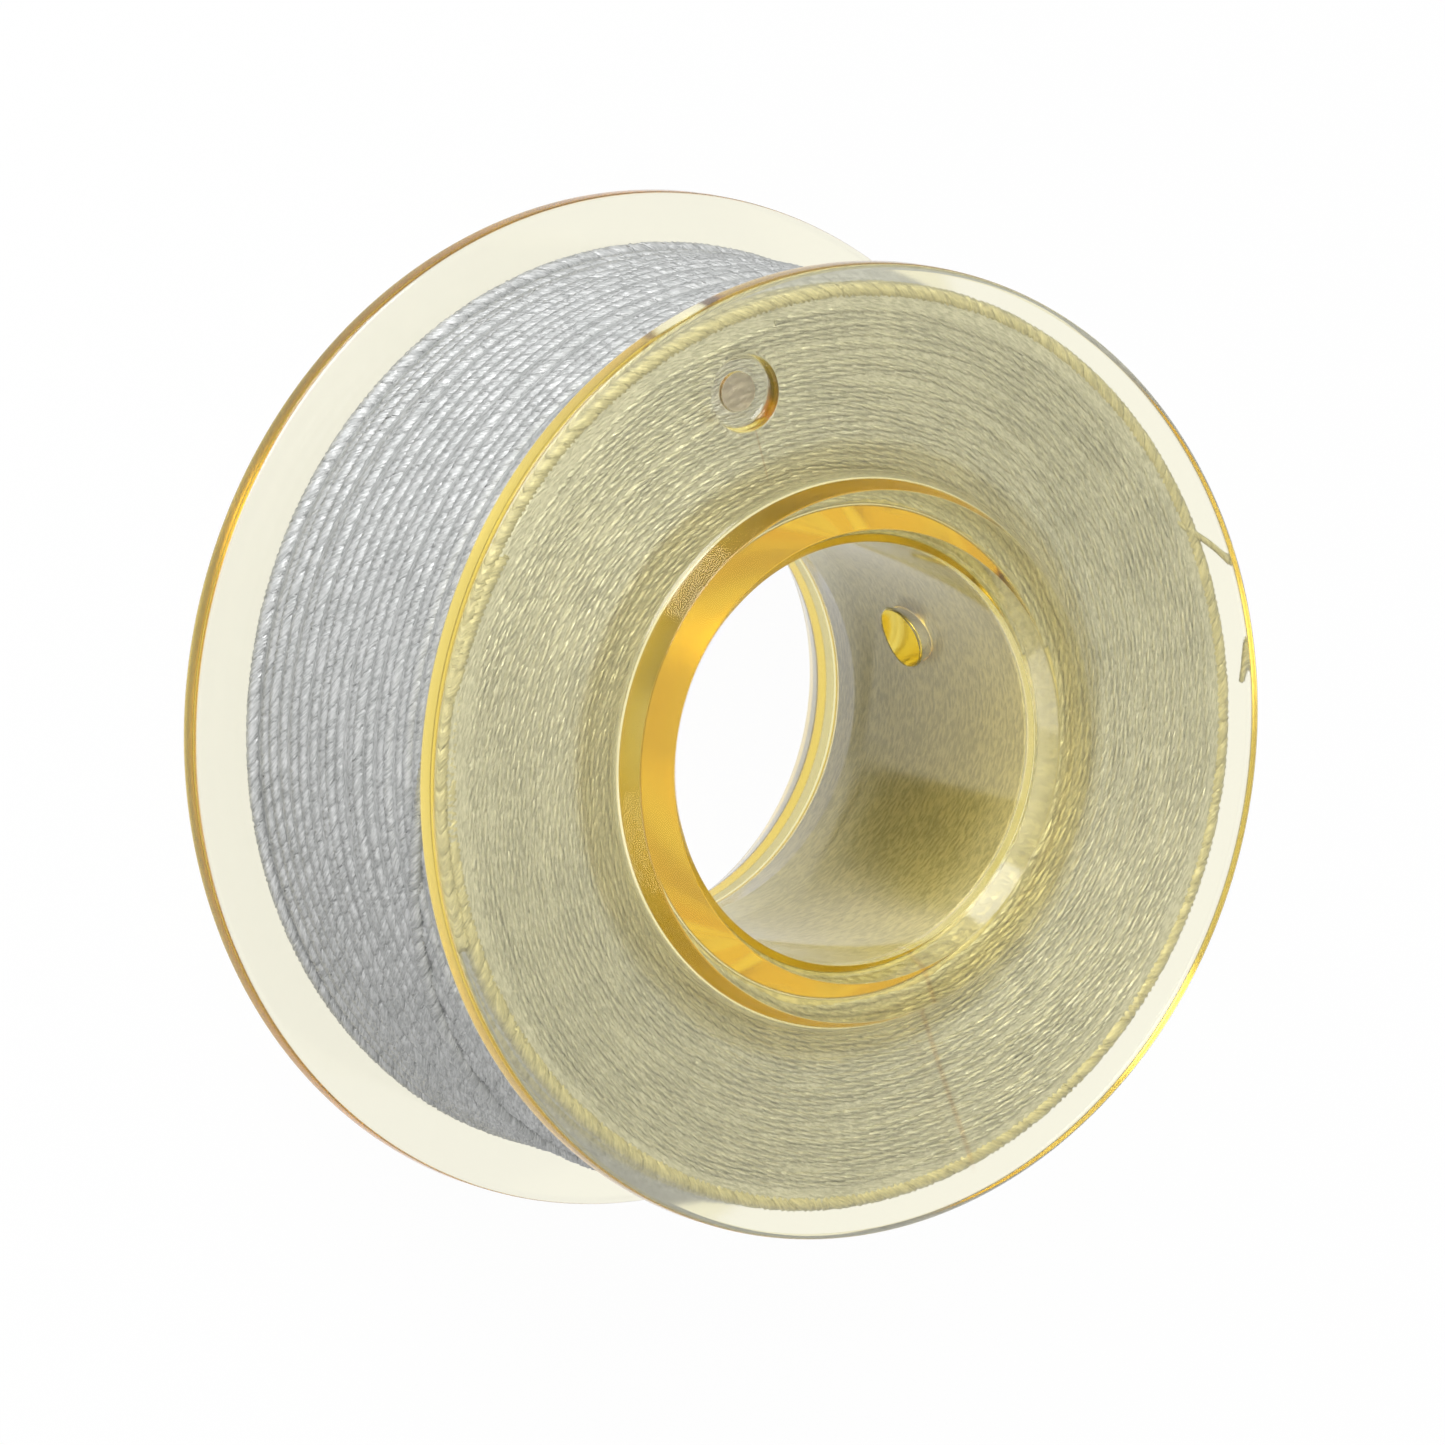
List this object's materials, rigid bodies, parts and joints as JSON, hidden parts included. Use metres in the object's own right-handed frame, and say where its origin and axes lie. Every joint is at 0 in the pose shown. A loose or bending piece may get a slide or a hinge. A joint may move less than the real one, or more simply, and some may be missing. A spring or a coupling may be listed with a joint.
{
  "type": "thread bobbin",
  "caption": "Clear flanged bobbin wound full with two-ply thread, with a flared bore, raised hub rings and one flange larger than the other.",
  "frame": {"origin": "on the bore's axis, at the foot of the lower hub ring, where the bobbin stands", "axes": "+Z along the bore from the larger flange to the smaller one, +Y through the gate mark, +X through the thread hole in the hub"},
  "size_m": [0.0214, 0.0214, 0.0102],
  "materials": {
    "bobbin_plastic": "clear, tinted straw yellow, polished, darker gold where it is seen edge-on",
    "thread": "grey two-ply filament thread with a silky sheen"
  },
  "bodies": {
    "root": {"bobbin": "bobbin_plastic", "thread_inner_layers": "thread", "thread_outer_layer": "thread"}
  },
  "joints": []
}
